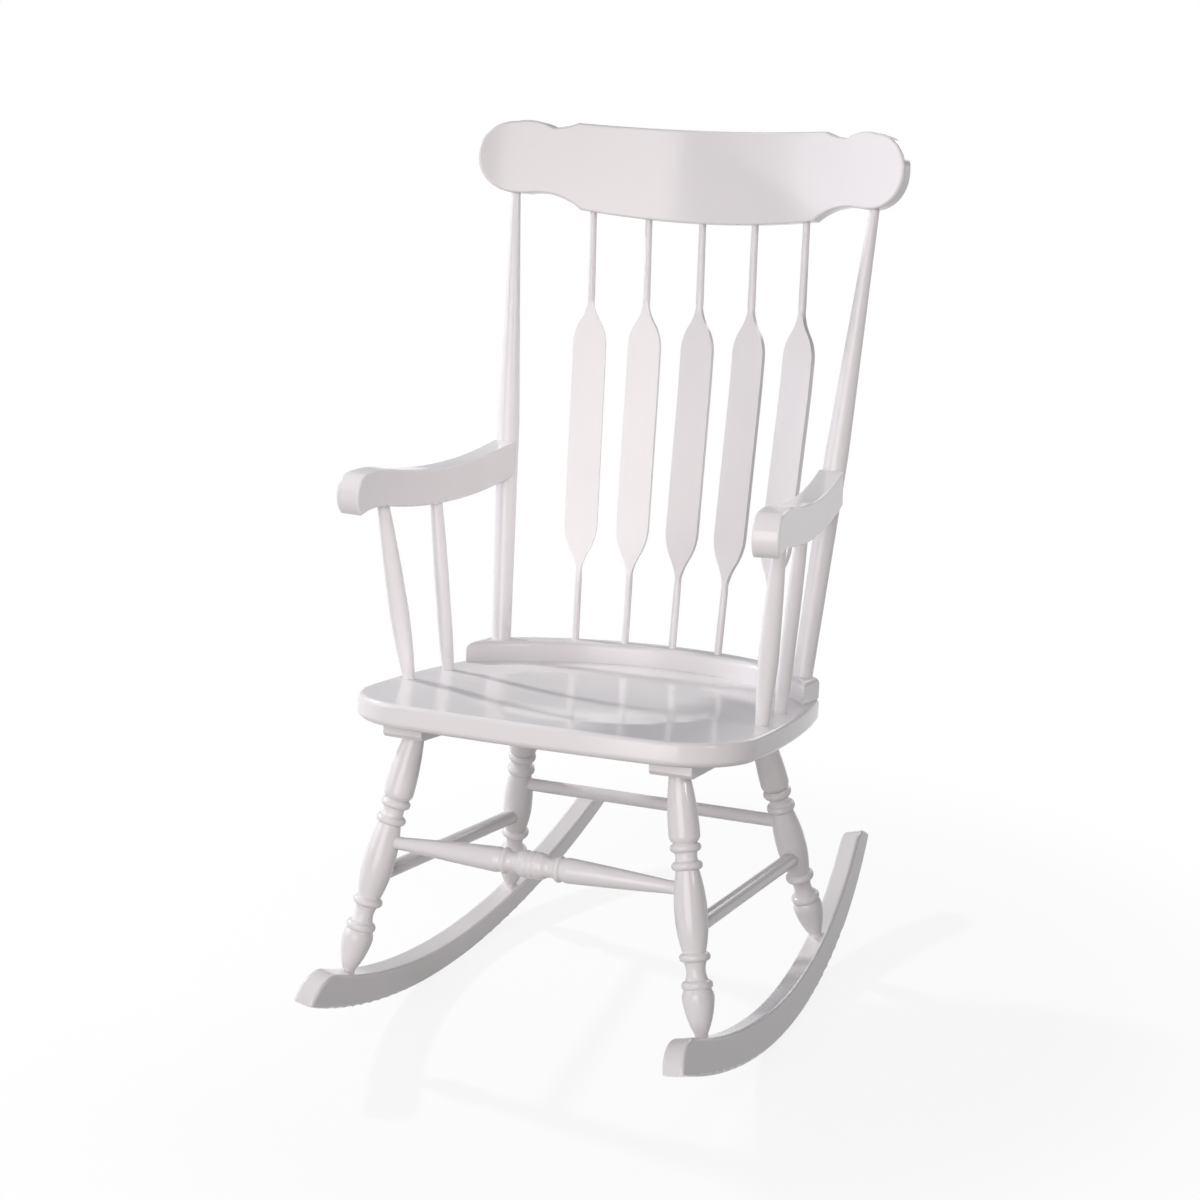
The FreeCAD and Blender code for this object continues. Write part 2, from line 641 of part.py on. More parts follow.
CLEAT, LEG_PITCH = cleat_ends()


def cleat_blank():
    """Batten with chamfered ends."""
    body = new_body("cleat_blank")
    sketch = new_sketch(body, "YZ_Plane")
    front = -D.cleat_overhang
    rear = D.cleat_overhang + LEG_PITCH
    chamfer = D.cleat_chamfer
    draw_outline(sketch, [
        (front + chamfer, 0, None),
        (rear - chamfer, 0, None),
        (rear, chamfer, None),
        (rear, D.cleat_thickness, None),
        (front, D.cleat_thickness, None),
        (front, chamfer, None),
    ])
    pad(body, sketch, D.cleat_width, symmetric=True)
    body.Placement = CLEAT
    return body


# Turned pieces

def leg_blank(name, axis):
    """Leg with a foot vase, paired beads and necks, a long body and an upper vase."""
    length = as_size((axis[1] - axis[0]).Length)
    cove, half = D.leg_cove_radius, D.leg_bead_half
    crown = D.leg_bead_radius - cove
    body = turned(name, [
        (-D.leg_foot_depth, D.leg_foot_radius, None),
        (D.leg_land, D.leg_foot_radius, D.leg_vase_fullness),
        (D.leg_vase_height, D.leg_vase_radius, D.leg_vase_fullness / 2),
        (D.leg_bead_low - half, cove + crown / 2, D.leg_first_crown),
        (D.leg_bead_low + half, cove, D.leg_neck_radius - cove),
        (D.leg_bead_second - half, cove, crown),
        (D.leg_bead_second + half, cove, D.leg_body_fullness),
        (D.leg_body_height, D.leg_body_radius, D.leg_body_fullness),
        (D.leg_bead_third - half, cove, crown),
        (D.leg_bead_third + half, cove, -D.leg_cove_hollow),
        (D.leg_bead_top - half, cove, crown),
        (D.leg_bead_top + half, cove, D.leg_cove_hollow),
        (D.leg_bead_top + D.leg_cap_height, D.leg_cap_radius, D.leg_body_fullness),
        (length - D.leg_land, D.leg_top_radius, None),
        (length + D.leg_socket_depth, D.leg_top_radius, None),
    ])
    body.Placement = along(*axis)
    return body


def leg_tools(name, axis):
    """Cutters that let a leg into the cleat and seat above and into the rocker below."""
    place = along(*axis)
    length = (axis[1] - axis[0]).Length
    top_radius = D.leg_top_radius + D.glue_gap
    foot_radius = D.leg_foot_radius + D.glue_gap
    top = as_size(length) + D.leg_socket_depth + D.socket_floor_gap
    upper = bore(f"{name}_top_bore", place, top_radius, as_size(length) - D.cleat_thickness, top)
    foot = -(D.leg_foot_depth + D.socket_floor_gap)
    lower = bore(f"{name}_foot_bore", place, foot_radius, foot, D.leg_vase_height)
    return upper, lower


def plain_stretcher(name, start, end, radius):
    """Dowel between two leg axes, with its bore for the legs."""
    half = as_size((end - start).Length / 2)
    reach = half - D.stretcher_end_gap
    body = turned(name, [(-reach, radius, None), (reach, radius, None)])
    middle = (start + end) * 0.5
    body.Placement = along(middle, end)
    bore_reach = reach + D.socket_floor_gap
    tool = bore(f"{name}_bore", body.Placement, radius + D.glue_gap, -bore_reach, bore_reach)
    return body, tool


def front_stretcher_piece(start, end):
    """Turned rail with a reeded barrel, necks, rings and long tapers, and its bore for the legs."""
    reach = as_size((end - start).Length / 2) - D.stretcher_end_gap
    shoulder = reach - D.front_stretcher_land
    neck = D.barrel_half_length
    ring = neck + D.barrel_neck_length
    swell = ring + D.barrel_ring_length
    full = swell + D.swell_length
    crown = D.front_stretcher_ring - D.front_stretcher_neck
    hollow = D.front_stretcher_hollow
    end_radius, neck_radius = D.front_stretcher_end, D.front_stretcher_neck
    barrel = D.front_stretcher_barrel
    reeds = [(D.reed_length * (step - REEDS / 2), barrel, D.reed_crown) for step in range(REEDS)]
    body = turned("front_stretcher", [
        (-reach, end_radius, None),
        (-shoulder, end_radius, D.front_stretcher_fullness),
        (-full, D.front_stretcher_swell, D.front_stretcher_fullness / 4),
        (-swell, neck_radius, crown),
        (-ring, neck_radius, -hollow),
        (-neck, neck_radius, D.barrel_fullness),
        *reeds,
        (D.reed_length * (REEDS / 2), barrel, D.barrel_fullness),
        (neck, neck_radius, -hollow),
        (ring, neck_radius, crown),
        (swell, neck_radius, D.front_stretcher_fullness / 4),
        (full, D.front_stretcher_swell, D.front_stretcher_fullness),
        (shoulder, end_radius, None),
        (reach, end_radius, None),
    ])
    body.Placement = along((start + end) * 0.5, end)
    bore_reach = reach + D.socket_floor_gap
    tool = bore("front_stretcher_bore", body.Placement, end_radius + D.glue_gap, -bore_reach, bore_reach)
    return body, tool


def post_blank():
    """Back post that swells at the arm and tapers to the crest rail, with its two bores."""
    length = as_size((POST[1] - POST[0]).Length)
    seat_end = -(D.riser_height + D.post_seat_depth)
    body = turned("post_blank", [
        (seat_end, D.post_foot_radius, None),
        (D.leg_land, D.post_foot_radius, None),
        (D.post_belly_height, D.post_belly_radius, None),
        (length - D.leg_land, D.post_tip_radius, None),
        (length + D.post_tip_depth, D.post_tip_radius, None),
    ])
    body.Placement = along(*POST)
    foot = bore("post_foot_bore", body.Placement, D.post_foot_radius + D.glue_gap,
                seat_end - D.socket_floor_gap, D.riser_height)
    tip = bore("post_tip_bore", body.Placement, D.post_tip_radius + D.glue_gap,
               length - D.post_tip_depth, length + D.post_tip_depth + D.socket_floor_gap)
    return body, foot, tip


def arm_spindle(name, foot, top, belly):
    """Small turned upright between seat and arm, with its two bores."""
    length = as_size((top - foot).Length)
    end = D.arm_spindle_end_radius
    depth = D.arm_spindle_depth
    body = turned(name, [
        (-depth, end, None),
        (D.leg_land, end, D.arm_spindle_fullness),
        (D.arm_spindle_belly_height, belly, D.arm_spindle_fullness),
        (length - D.leg_land, end, None),
        (length + depth, end, None),
    ])
    body.Placement = along(foot, top)
    clear = end + D.glue_gap
    low = bore(f"{name}_low_bore", body.Placement, clear, -(depth + D.socket_floor_gap), depth)
    high_end = length + depth + D.socket_floor_gap
    high = bore(f"{name}_high_bore", body.Placement, clear, length - depth, high_end)
    return body, low, high


def spindle_foot(step):
    """Point on the riser's top from which a back spindle rises."""
    across = step * D.spindle_foot_step.value
    radius = D.spindle_bow_radius.value
    reach = D.back_bow_centre.value + D.back_bow_radius.value - D.spindle_bow_inset.value
    return on_seat(across, reach - radius + math.sqrt(radius ** 2 - across ** 2), RISER_TOP)


def bent_axis(foot, top, facing):
    """Placements of a bent spindle's two straight parts, and the upper one's length from their corner."""
    chord = (top - foot).Length
    bend = math.radians(D.spindle_bend.value)
    low = D.paddle_end.value - D.spindle_bend_length.value / 2
    high = math.sqrt(chord ** 2 - (low * math.sin(bend)) ** 2) - low * math.cos(bend)
    lean = math.degrees(math.asin(high * math.sin(bend) / chord))
    across = Vector(1, 0, 0)
    lower = along(foot, top, facing) * Placement(Vector(), Rotation(across, -lean))
    upper = lower * Placement(Vector(0, 0, low), Rotation(across, D.spindle_bend.value))
    return lower, upper, as_size(high)


def arrow_spindle(name, step):
    """Bent spindle with round shanks and a flat paddle square to the crest rail, with its bores."""
    across = step * D.spindle_crest_step.value
    top = on_crest(across, crest_low_edge(across))
    turn = math.degrees(math.asin(across / D.crest_bend_radius.value))
    facing = Rotation(UP, -turn).multVec(Vector(1, 0, 0))
    lower, upper, high = bent_axis(spindle_foot(step), top, facing)
    seat_depth, crest_depth = D.spindle_seat_depth, D.spindle_crest_depth
    shank = turned(f"{name}_shank", [
        (-seat_depth, D.spindle_foot_radius, None),
        (D.leg_land, D.spindle_foot_radius, None),
        (D.paddle_start, D.spindle_low_neck_radius, None),
        (D.paddle_low_shoulder, D.spindle_core_radius, None),
    ])
    shank.Placement = lower
    tip = turned(f"{name}_tip", [
        (D.spindle_core_set, D.spindle_core_radius, None),
        (D.spindle_bend_length / 2, D.spindle_high_neck_radius, None),
        (high - D.leg_land, D.spindle_top_radius, None),
        (high + crest_depth, D.spindle_top_radius, None),
    ])
    tip.Placement = upper
    spindle = DOC.addObject("Part::MultiFuse", name)
    spindle.Shapes = [shank, tip, paddle(name, lower)]
    low_bore = bore(f"{name}_low_bore", lower, D.spindle_foot_radius + D.glue_gap,
                    -(seat_depth + D.socket_floor_gap), seat_depth)
    high_bore = bore(f"{name}_high_bore", upper, D.spindle_top_radius + D.glue_gap,
                     high - crest_depth, high + crest_depth + D.socket_floor_gap)
    return spindle, low_bore, high_bore


def paddle(name, place):
    """Flat blade bent at its upper end and cut to its front outline."""
    blade = DOC.addObject("Part::Common", f"{name}_paddle")
    blade.Base = paddle_slab(f"{name}_slab")
    blade.Tool = paddle_outline(f"{name}_outline")
    for piece in (blade.Base, blade.Tool):
        piece.Placement = place
    return blade


def paddle_slab(name):
    """Side view of the blade: straight, then bent forward about a level axis."""
    body = new_body(name)
    sketch = new_sketch(body, "YZ_Plane")
    sine, cosine = size_sin(D.spindle_bend), size_cos(D.spindle_bend)
    radius = D.spindle_bend_length / 2 * (cosine + 1) / sine
    half = D.paddle_thickness / 2
    outer, inner = radius + half, radius - half
    start = D.paddle_end - D.spindle_bend_length
    fullness = size_versine(D.spindle_bend / 2)
    draw_outline(sketch, [
        (-half, D.paddle_start, None),
        (half, D.paddle_start, None),
        (half, start, outer * fullness),
        (outer * cosine - radius, start + outer * sine, None),
        (inner * cosine - radius, start + inner * sine, -inner * fullness),
        (-half, start, None),
    ])
    pad(body, sketch, D.paddle_width + D.paddle_thickness, symmetric=True)
    return body


def midway(first, second):
    return (first[0] + second[0]) / 2, (first[1] + second[1]) / 2


def paddle_outline(name):
    """Front view of the blade, whose shoulders run into the shank in a double curve."""
    body = new_body(name)
    sketch = new_sketch(body, "XZ_Plane")
    half = D.paddle_width / 2
    low_point, high_point = (D.paddle_low_point, D.paddle_start), (D.paddle_high_point, D.paddle_end)
    low_shoulder, high_shoulder = (half, D.paddle_low_shoulder), (half, D.paddle_high_shoulder)
    right = [low_point, midway(low_point, low_shoulder), low_shoulder,
             high_shoulder, midway(high_shoulder, high_point), high_point]
    left = [(-x, y) for x, y in reversed(right)]
    outline = []
    for side, heading in ((right, 90), (left, -90)):
        low_in, middle_heading = flow_on(heading, side[0], side[1])
        low_out = flow_on(middle_heading, side[1], side[2])[0]
        high_in, middle_heading = flow_on(heading, side[3], side[4])
        high_out = flow_on(middle_heading, side[4], side[5])[0]
        bulges = (low_in, low_out, None, high_in, high_out, None)
        outline += [(*corner, bulge) for corner, bulge in zip(side, bulges)]
    draw_outline(sketch, outline, smooth=(1, 2, 3, 4, 7, 8, 9, 10))
    pad(body, sketch, D.paddle_width, symmetric=True)
    return body


# Crest rail

def crest_low_edge(across):
    """Height of the crest rail's bellied lower edge, by the circle through belly and cusps."""
    half, rise = D.crest_low_cusp.value, D.crest_belly.value
    radius = (half ** 2 + rise ** 2) / (2 * rise)
    return radius - math.sqrt(radius ** 2 - across ** 2)


def crest_blank():
    """Bent slab cut to the lobed front outline, with its front edges rounded."""
    sawn = DOC.addObject("Part::Common", "crest_sawn")
    sawn.Base = crest_slab()
    sawn.Tool = crest_outline()
    DOC.recompute()
    body = new_body("crest_blank")
    body.BaseFeature = sawn
    DOC.recompute()
    round_edges(body, body.Tip, D.crest_round, on_crest_front)
    return body


def on_crest_front(edge):
    """Test that picks the edges of the crest rail's hollow front face."""
    radius = D.crest_bend_radius.value
    front = radius - D.crest_thickness.value / 2
    points = [CREST.inverse().multVec(point) for point in edge.discretize(3)]
    return all(abs(math.hypot(point.x, point.y + radius) - front) < SAWN_TOLERANCE for point in points)


def crest_slab():
    """Slab bent in plan, tall and wide enough to hold the whole outline."""
    body = new_body("crest_slab")
    sketch = new_sketch(body, "XY_Plane")
    half = D.lobe_centre + D.lobe_half_width + D.crest_thickness
    outer = D.crest_bend_radius + D.crest_thickness / 2
    inner = D.crest_bend_radius - D.crest_thickness / 2
    outer_reach = size_root(outer * outer - half * half)
    inner_reach = size_root(inner * inner - half * half)
    draw_outline(sketch, [
        (half, outer_reach - D.crest_bend_radius, outer - outer_reach),
        (-half, outer_reach - D.crest_bend_radius, None),
        (-half, inner_reach - D.crest_bend_radius, inner_reach - inner),
        (half, inner_reach - D.crest_bend_radius, None),
    ])
    pad(body, sketch, D.crest_top_rise + D.crest_thickness)
    body.Placement = CREST
    return body


def crest_outline():
    """Front outline of the crest rail: bellied lower edge, coves, round lobes, valleys and cusps."""
    body = new_body("crest_outline")
    sketch = new_sketch(body, "XZ_Plane")
    lobe_low = D.lobe_rise - D.lobe_half_height
    lobe_high = D.lobe_rise + D.lobe_half_height
    lobe_end = D.lobe_centre + D.lobe_half_width
    quarter = (D.lobe_half_height + D.lobe_half_width) / 2 * QUARTER_RISE
    valley = D.crest_top_rise - D.crest_valley_drop
    half = [
        (D.crest_low_cusp, D.crest_belly, -D.crest_cove),
        (D.crest_neck, lobe_low, None),
        (D.lobe_centre, lobe_low, quarter),
        (lobe_end, D.lobe_rise, quarter),
        (D.lobe_centre, lobe_high, D.lobe_shoulder),
        (D.crest_valley, valley, -D.crest_valley_hollow),
        (D.crest_top_cusp, D.crest_top_rise, None),
    ]
    other = [(-x, y, None) for x, y, bulge in reversed(half)]
    bulges = [bulge for x, y, bulge in reversed(half)][1:] + [D.crest_belly]
    other = [(x, y, bulge) for (x, y, nothing), bulge in zip(other, bulges)]
    half[-1] = (D.crest_top_cusp, D.crest_top_rise, -D.crest_top_bow)
    draw_outline(sketch, half + other)
    pad(body, sketch, D.crest_bend_radius, symmetric=True)
    body.Placement = CREST
    return body


# Arms

def arm_blank():
    """Sawn arm: side profile with a raised nose and a long dip, eased edges."""
    body = new_body("arm_blank")
    sketch = new_sketch(body, "YZ_Plane")
    nose = as_size(ARM_NOSE)
    rear = D.arm_cope_depth - D.post_belly_radius
    nose_top = D.arm_nose_low + D.arm_nose_height
    rear_low = D.arm_rear_top - D.arm_rear_depth
    chin = (nose + D.arm_chin, D.arm_nose_low)
    throat = (nose + D.arm_hump_length * HUMP_SHARE, D.arm_nose_low)
    heel, rear_top = (rear, rear_low), (rear, D.arm_rear_top)
    hump_end = (nose + D.arm_hump_length, nose_top - D.arm_hump_fall)
    brow = (nose + D.arm_nose_round, nose_top)
    front = (nose, D.arm_nose_low + D.arm_nose_rise)
    throat_heading = heading_after(heel, throat, -D.arm_sag) + 180
    heading = heading_after(rear_top, hump_end, -D.arm_dip)
    hump, heading = flow_on(heading, hump_end, brow)
    nose_curve, heading = flow_on(heading, brow, front)
    chin_curve, heading = flow_on(heading, front, chin)
    draw_outline(sketch, [
        (*chin, flow_into(chin, throat, throat_heading)),
        (*throat, D.arm_sag),
        (*heel, None),
        (*rear_top, -D.arm_dip),
        (*hump_end, hump),
        (*brow, nose_curve),
        (*front, chin_curve),
    ], smooth=(1, 4, 5, 6))
    board = pad(body, sketch, D.arm_width, symmetric=True)
    side = D.arm_width.value / 2
    near, far = lies_at("x", -side), lies_at("x", side)
    round_edges(body, board, D.arm_round,
                lambda edge: edge.BoundBox.YLength > TOLERANCE and (near(edge) or far(edge)))
    body.Placement = ARM
    return body


def arm_under(reach):
    """Point in the middle of the arm's lower edge, a distance ahead of the post along the arm."""
    start = ARM_NOSE + D.arm_hump_length.value * HUMP_SHARE
    end = D.arm_cope_depth.value - D.post_belly_radius.value
    low, rear_low = D.arm_nose_low.value, D.arm_rear_top.value - D.arm_rear_depth.value
    chord = math.hypot(end - start, rear_low - low)
    radius = (chord ** 2 / 4 + D.arm_sag.value ** 2) / (2 * D.arm_sag.value)
    inset = (radius - D.arm_sag.value) / chord
    centre_y = (start + end) / 2 - (rear_low - low) * inset
    centre_z = (low + rear_low) / 2 + (end - start) * inset
    height = centre_z - math.sqrt(radius ** 2 - (-reach - centre_y) ** 2)
    return ARM.multVec(Vector(0, -reach, height))


# Rockers

def rocker_blank():
    """Curved runner with a rounded nose and tip, tapering to the rear."""
    body = new_body("rocker_blank")
    sketch = new_sketch(body, "YZ_Plane")
    stretch = 1 / math.cos(math.radians(D.rocker_toe.value))
    nose = -(D.rocker_length / 2 + D.rocker_rest_line) * stretch
    tip = (D.rocker_length / 2 - D.rocker_rest_line) * stretch
    nose_foot, tip_foot = rocker_edge(nose), rocker_edge(tip)
    nose_top, tip_top = nose + D.rocker_nose_length, tip - D.rocker_tip_length
    low_bulge = chord_bulge(D.rocker_radius, nose, nose_foot, tip, tip_foot)
    top_radius = D.rocker_radius - D.rocker_depth
    nose_head, tip_head = rocker_upper(nose_top), rocker_upper(tip_top)
    top_bulge = chord_bulge(top_radius, nose_top, nose_head, tip_top, tip_head)
    tip_end, nose_end = (tip_top, tip_head), (nose_top, nose_head)
    tip_heading = heading_after(nose_end, tip_end, top_bulge) + 180
    nose_heading = heading_after(tip_end, nose_end, -top_bulge)
    draw_outline(sketch, [
        (nose, nose_foot, low_bulge),
        (tip, tip_foot, flow_into((tip, tip_foot), tip_end, tip_heading)),
        (*tip_end, -top_bulge),
        (*nose_end, flow_on(nose_heading, nose_end, (nose, nose_foot))[0]),
    ], smooth=(2, 3))
    board = pad(body, sketch, D.rocker_thickness, symmetric=True)
    side = D.rocker_thickness.value / 2
    near, far = lies_at("x", -side), lies_at("x", side)
    round_edges(body, board, D.rocker_round, lambda edge: near(edge) or far(edge))
    body.Placement = ROCKER
    return body


def rocker_edge(back):
    """Height of the running edge at a distance behind the point of rest."""
    radius = D.rocker_radius
    return radius - size_root(radius * radius - back * back)


def rocker_upper(back):
    """Height of the upper edge, a smaller circle set a little to the rear."""
    radius = D.rocker_radius - D.rocker_depth
    reach = back - D.rocker_taper
    return D.rocker_radius - size_root(radius * radius - reach * reach)


def chord_bulge(radius, x1, y1, x2, y2):
    """Bulge of a circle's arc above its chord."""
    run, rise = x2 - x1, y2 - y1
    return radius - size_root(radius * radius - (run * run + rise * rise) / 4)


# Fasteners

def screw(name, length, start, direction):
    """Countersunk wood screw whose head lies flush at the start, and the cutter for it."""
    head, shank, height = D.screw_head_radius, D.screw_radius, D.screw_head_height
    body = turned(name, [(0, head, None), (height, shank, None), (length, shank, None)])
    gap = D.glue_gap
    cutter = turned(f"{name}_cutter", [
        (-height, head + gap, None),
        (0, head + gap, None),
        (height, shank + gap, None),
        (length + D.socket_floor_gap, shank + gap, None),
    ])
    for piece in (body, cutter):
        piece.Placement = along(start, start + direction)
    return body, cutter


def screws_up(name, length, starts, up):
    """A row of like screws: the screws, and the cutters for them."""
    made = [screw(f"{name}_{number}", length, start, up) for number, start in enumerate(starts, start=1)]
    return [body for body, cutter in made], [cutter for body, cutter in made]


def cleat_screw_set():
    """Screws up through the left cleat into the seat, between the legs."""
    up = CLEAT.Rotation.multVec(UP)
    starts = [CLEAT.multVec(Vector(0, LEG_PITCH * share, 0)) for share in CLEAT_SCREW_SHARES]
    return screws_up("cleat_screw", D.cleat_screw_length, starts, up)


def riser_screw_set():
    """Screws up through the seat into the left half of the riser, clear of the spindles."""
    angles = (D.riser_screw_inner_angle.value, D.riser_screw_outer_angle.value)
    up = SEAT.Rotation.multVec(UP)
    starts = [on_bow(angle, -D.seat_thickness.value) for angle in angles]
    return screws_up("riser_screw", D.riser_screw_length, starts, up)


def rocker_screw(name, axis):
    """Screw up through the left rocker into the end of a foot, along the leg."""
    foot, top = axis
    direction = (top - foot).normalize()
    local_foot = ROCKER.inverse().multVec(foot)
    local_step = ROCKER.Rotation.inverted().multVec(direction)
    centre = Vector(0, 0, D.rocker_radius.value)
    offset = Vector(0, local_foot.y, local_foot.z) - centre
    step = Vector(0, local_step.y, local_step.z)
    square, mixed = step.dot(step), offset.dot(step)
    rest = offset.dot(offset) - D.rocker_radius.value ** 2
    depth = (-mixed - math.sqrt(mixed ** 2 - square * rest)) / square
    sink = D.screw_head_height.value / 2
    return screw(name, D.rocker_screw_length, foot + direction * (depth + sink), direction)


def arm_screw():
    """Screw from behind the left post into the end of the arm."""
    height = D.arm_rear_top.value - D.arm_rear_depth.value / 2
    start = ARM.multVec(Vector(0, D.post_belly_radius.value - D.screw_head_height.value / 2, height))
    return screw("arm_screw", D.arm_screw_length, start, ARM.Rotation.multVec(Vector(0, -1, 0)))


def crest_pin():
    """Pin from the back of the crest rail into the tip of the left post, and the cutter for it."""
    across = D.lobe_centre.value
    rise = D.lobe_rise.value - D.lobe_half_height.value + D.crest_pin_rise.value
    bend = math.degrees(math.asin(across / D.crest_bend_radius.value))
    outward = CREST.Rotation.multVec(Rotation(UP, -bend).multVec(Vector(0, 1, 0)))
    start = on_crest(across, rise) + outward * (D.crest_thickness.value / 2)
    place = along(start, start - outward)
    pin = bore("crest_pin", place, D.crest_pin_radius, as_size(0), D.crest_pin_length)
    hole = bore("crest_pin_hole", place, D.crest_pin_radius + D.glue_gap,
                -D.crest_pin_radius, D.crest_pin_length + D.socket_floor_gap)
    return pin, hole


# Assembly

def both_sides(pieces):
    return pieces + [mirrored(f"{piece.Name}_mirrored", piece) for piece in pieces]


def opposite(point):
    return Vector(-point.x, point.y, point.z)


def add_stretchers(done):
    """Make the stretchers and return the bores that they need in the front and in the rear legs."""
    front = up_axis(FRONT_LEG, D.front_stretcher_height)
    rear = up_axis(REAR_LEG, D.rear_stretcher_height)
    side_ends = up_axis(FRONT_LEG, D.side_stretcher_front), up_axis(REAR_LEG, D.side_stretcher_rear)
    done["front_stretcher"], front_bore = front_stretcher_piece(opposite(front), front)
    done["rear_stretcher"], rear_bore = plain_stretcher(
        "rear_stretcher", opposite(rear), rear, D.rear_stretcher_radius)
    done["left_side_stretcher"], side_bore = plain_stretcher(
        "left_side_stretcher", *side_ends, D.side_stretcher_radius)
    return [front_bore, side_bore], [rear_bore, side_bore]


def add_legs(done):
    """Make the left legs and rocker and return the bores for the legs' tops."""
    front_bores, rear_bores = add_stretchers(done)
    front_top, front_foot = leg_tools("front_leg", FRONT_LEG)
    rear_top, rear_foot = leg_tools("rear_leg", REAR_LEG)
    front_screw, front_hole = rocker_screw("front_rocker_screw", FRONT_LEG)
    rear_screw, rear_hole = rocker_screw("rear_rocker_screw", REAR_LEG)
    front_leg = leg_blank("front_leg_blank", FRONT_LEG)
    rear_leg = leg_blank("rear_leg_blank", REAR_LEG)
    done["front_left_leg"] = cut("front_left_leg", front_leg, [*front_bores, front_hole])
    done["rear_left_leg"] = cut("rear_left_leg", rear_leg, [*rear_bores, rear_hole])
    rocker_tools = [front_foot, rear_foot, front_hole, rear_hole]
    done["left_rocker"] = cut("left_rocker", rocker_blank(), rocker_tools)
    done["rocker_screws"] = grouped("rocker_screws", both_sides([front_screw, rear_screw]))
    return [front_top, rear_top]


def add_cleat(done, leg_tops):
    """Make the left cleat and its screws and return the screws' holes."""
    screws, holes = cleat_screw_set()
    done["left_cleat"] = cut("left_cleat", cleat_blank(), [*leg_tops, *holes])
    done["cleat_screws"] = grouped("cleat_screws", both_sides(screws))
    return holes


def add_arm(done, post, arm_hole):
    """Make the left arm with its spindles and return the spindles' bores for the seat."""
    front_foot = on_seat(D.front_arm_spindle_spread.value, D.front_arm_spindle_line.value)
    rear_foot = on_seat(D.rear_arm_spindle_spread.value, D.rear_arm_spindle_line.value)
    front_top = arm_under(D.front_arm_spindle_reach.value)
    rear_top = arm_under(D.rear_arm_spindle_reach.value)
    front, rear = "front_left_arm_spindle", "rear_left_arm_spindle"
    done[front], front_low, front_high = arm_spindle(front, front_foot, front_top, D.front_arm_spindle_belly)
    done[rear], rear_low, rear_high = arm_spindle(rear, rear_foot, rear_top, D.rear_arm_spindle_belly)
    cope_radius = D.post_belly_radius + D.glue_gap
    cope = bore("arm_cope", post.Placement, cope_radius, 0, D.post_belly_height * 2)
    done["left_arm"] = cut("left_arm", arm_blank(), [cope, front_high, rear_high, arm_hole])
    return [front_low, rear_low]


def add_post(done):
    """Make the left post with its pin, its screw and its arm, and return the bores for seat and crest."""
    post, foot_bore, tip_bore = post_blank()
    pin, pin_hole = crest_pin()
    fixing, arm_hole = arm_screw()
    done["left_back_post"] = cut("left_back_post", post, [pin_hole, arm_hole])
    done["crest_pins"] = grouped("crest_pins", both_sides([pin]))
    done["arm_screws"] = grouped("arm_screws", both_sides([fixing]))
    arm_bores = add_arm(done, post, arm_hole)
    return foot_bore, arm_bores, [tip_bore, pin_hole]


def add_back_spindles(done):
    """Make the five back spindles and return their bores for the riser and for the crest rail."""
    feet, tops = [], []
    for number, step in enumerate(SPINDLE_STEPS, start=1):
        name = f"back_spindle_{number}"
        done[name], foot_bore, top_bore = arrow_spindle(name, step)
        feet.append(foot_bore)
        tops.append(top_bore)
    return feet, tops


def build_chair():
    """Make every piece and return the finished ones by node name."""
    done = {}
    leg_tops = add_legs(done)
    cleat_holes = add_cleat(done, leg_tops)
    post_bore, arm_bores, crest_bores = add_post(done)
    spindle_feet, spindle_tops = add_back_spindles(done)
    riser_screws, riser_holes = riser_screw_set()
    done["riser_screws"] = grouped("riser_screws", both_sides(riser_screws))
    riser_bores = both_sides([post_bore, *riser_holes])
    seat_bores = both_sides([*arm_bores, *leg_tops, *cleat_holes])
    done["seat"] = cut("seat", seat_blank(), [saddle_cutter(), *riser_bores, *seat_bores])
    done["seat_riser"] = cut("seat_riser", riser_blank(), [*spindle_feet, *riser_bores])
    done["crest_rail"] = cut("crest_rail", crest_blank(), [*spindle_tops, *both_sides(crest_bores)])
    for name in [name for name in done if "left" in name]:
        twin = name.replace("left", "right")
        done[twin] = mirrored(twin, done[name])
    return done


def check_document():
    """Stop if any object of the document failed."""
    for item in DOC.Objects:
        if "Invalid" in item.State or "Error" in item.State:
            raise RuntimeError(f"{item.Name} failed: {item.State}")


def write_pieces(done):
    """Write one file for each finished piece."""
    for name, piece in done.items():
        if piece.Shape.isNull() or not piece.Shape.isValid():
            raise RuntimeError(f"{name} has no valid shape")
    os.makedirs("parts", exist_ok=True)
    for name, piece in done.items():
        piece.Label = name
        piece.Shape.exportStep(f"parts/{name}.step")


chair = build_chair()
DOC.recompute()
check_document()
write_pieces(chair)
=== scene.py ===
import json
import math
from typing import NamedTuple

import bpy
from mathutils import Matrix, Vector

